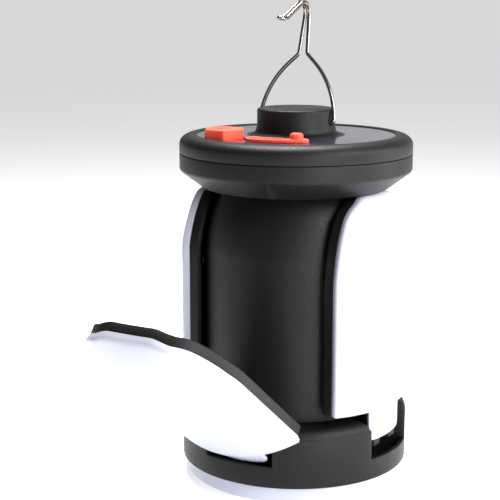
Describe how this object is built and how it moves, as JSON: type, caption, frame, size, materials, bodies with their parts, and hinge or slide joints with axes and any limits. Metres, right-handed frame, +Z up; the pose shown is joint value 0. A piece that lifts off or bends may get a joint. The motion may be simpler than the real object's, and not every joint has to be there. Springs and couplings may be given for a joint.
{
  "type": "camping lantern",
  "caption": "Rechargeable camping lantern with fold-out light leaves round a column, a solar head, a frosted bottom light and a folding wire hook.",
  "frame": {"origin": "centre of the bottom lens's flat underside, on the lantern's axis", "axes": "+Z up along the axis; -Y towards the leaf that stands open; +X towards the leaf on its right seen from the front"},
  "size_m": [0.12, 0.2074, 0.2466],
  "materials": {
    "frosted_lens": "frosted translucent white polycarbonate",
    "black_shell": "fine-textured black ABS",
    "led_board": "white solder mask on aluminium",
    "led": "yellow phosphor LED packages",
    "steel": "zinc-plated steel",
    "seal": "black silicone ring",
    "solar_cell": "dark blue silicon cells",
    "solar_film": "clear glossy epoxy over the cells",
    "hook_chrome": "polished plated steel wire",
    "orange_silicone": "satin orange-red silicone",
    "socket_metal": "nickel-plated steel",
    "circuit_board": "green solder mask",
    "switch_plastic": "black switch body",
    "battery_wrap": "blue heat-shrink sleeve",
    "tray_plastic": "natural nylon",
    "lead_wire": "PVC insulated wire"
  },
  "bodies": {
    "lantern": {"head_top_shell": "black_shell", "head_bottom_shell": "black_shell", "head_seal": "seal", "head_screws": "steel", "solar_panel": "solar_cell", "solar_cover": "solar_film", "usb_a_socket": "socket_metal", "usb_c_socket": "socket_metal", "control_board": "circuit_board", "power_switch": "switch_plastic", "column_tube": "black_shell", "battery_cells": "battery_wrap", "battery_tray": "tray_plastic", "column_leads": "lead_wire", "base_housing": "black_shell", "base_deck": "black_shell", "hinge_pins": "steel", "bottom_lens": "frosted_lens", "bottom_led_board": "led_board", "bottom_leds": "led", "base_screws": "steel", "deck_screws": "steel"},
    "front_leaf": {"front_leaf_lens": "frosted_lens", "front_leaf_back": "black_shell", "front_leaf_board": "led_board", "front_leaf_leds": "led", "front_leaf_screws": "steel"},
    "right_leaf": {"right_leaf_lens": "frosted_lens", "right_leaf_back": "black_shell", "right_leaf_board": "led_board", "right_leaf_leds": "led", "right_leaf_screws": "steel"},
    "rear_leaf": {"rear_leaf_lens": "frosted_lens", "rear_leaf_back": "black_shell", "rear_leaf_board": "led_board", "rear_leaf_leds": "led", "rear_leaf_screws": "steel"},
    "left_leaf": {"left_leaf_lens": "frosted_lens", "left_leaf_back": "black_shell", "left_leaf_board": "led_board", "left_leaf_leds": "led", "left_leaf_screws": "steel"},
    "hook": {"hanging_hook": "hook_chrome"},
    "button": {"power_button": "orange_silicone"},
    "cover": {"port_cover": "orange_silicone"}
  },
  "joints": [
    {"name": "front_leaf_hinge", "type": "hinge", "parent": "lantern", "child": "front_leaf", "pos_m": [0, -0.047, 0.0244], "axis": [1, 0, 0], "range_deg": [-52.3, 5.7]},
    {"name": "right_leaf_hinge", "type": "hinge", "parent": "lantern", "child": "right_leaf", "pos_m": [0.047, 0, 0.0244], "axis": [0, 1, 0], "range_deg": [0, 58]},
    {"name": "rear_leaf_hinge", "type": "hinge", "parent": "lantern", "child": "rear_leaf", "pos_m": [0, 0.047, 0.0244], "axis": [-1, 0, 0], "range_deg": [0, 58]},
    {"name": "left_leaf_hinge", "type": "hinge", "parent": "lantern", "child": "left_leaf", "pos_m": [-0.047, 0, 0.0244], "axis": [0, -1, 0], "range_deg": [0, 58]},
    {"name": "hook_pivot", "type": "hinge", "parent": "lantern", "child": "hook", "pos_m": [0, 0, 0.1854], "axis": [1, 0, 0], "range_deg": [-77, 45]},
    {"name": "power_button_press", "type": "slide", "parent": "lantern", "child": "button", "axis": [0, 0, -1], "range_m": [0, 0.001], "stiffness_N_per_m": 1500},
    {"name": "port_cover_hinge", "type": "hinge", "parent": "lantern", "child": "cover", "pos_m": [-0.0044, -0.03775, 0.18005], "axis": [-0.1392, -0.9903, 0], "range_deg": [0, 110]}
  ]
}
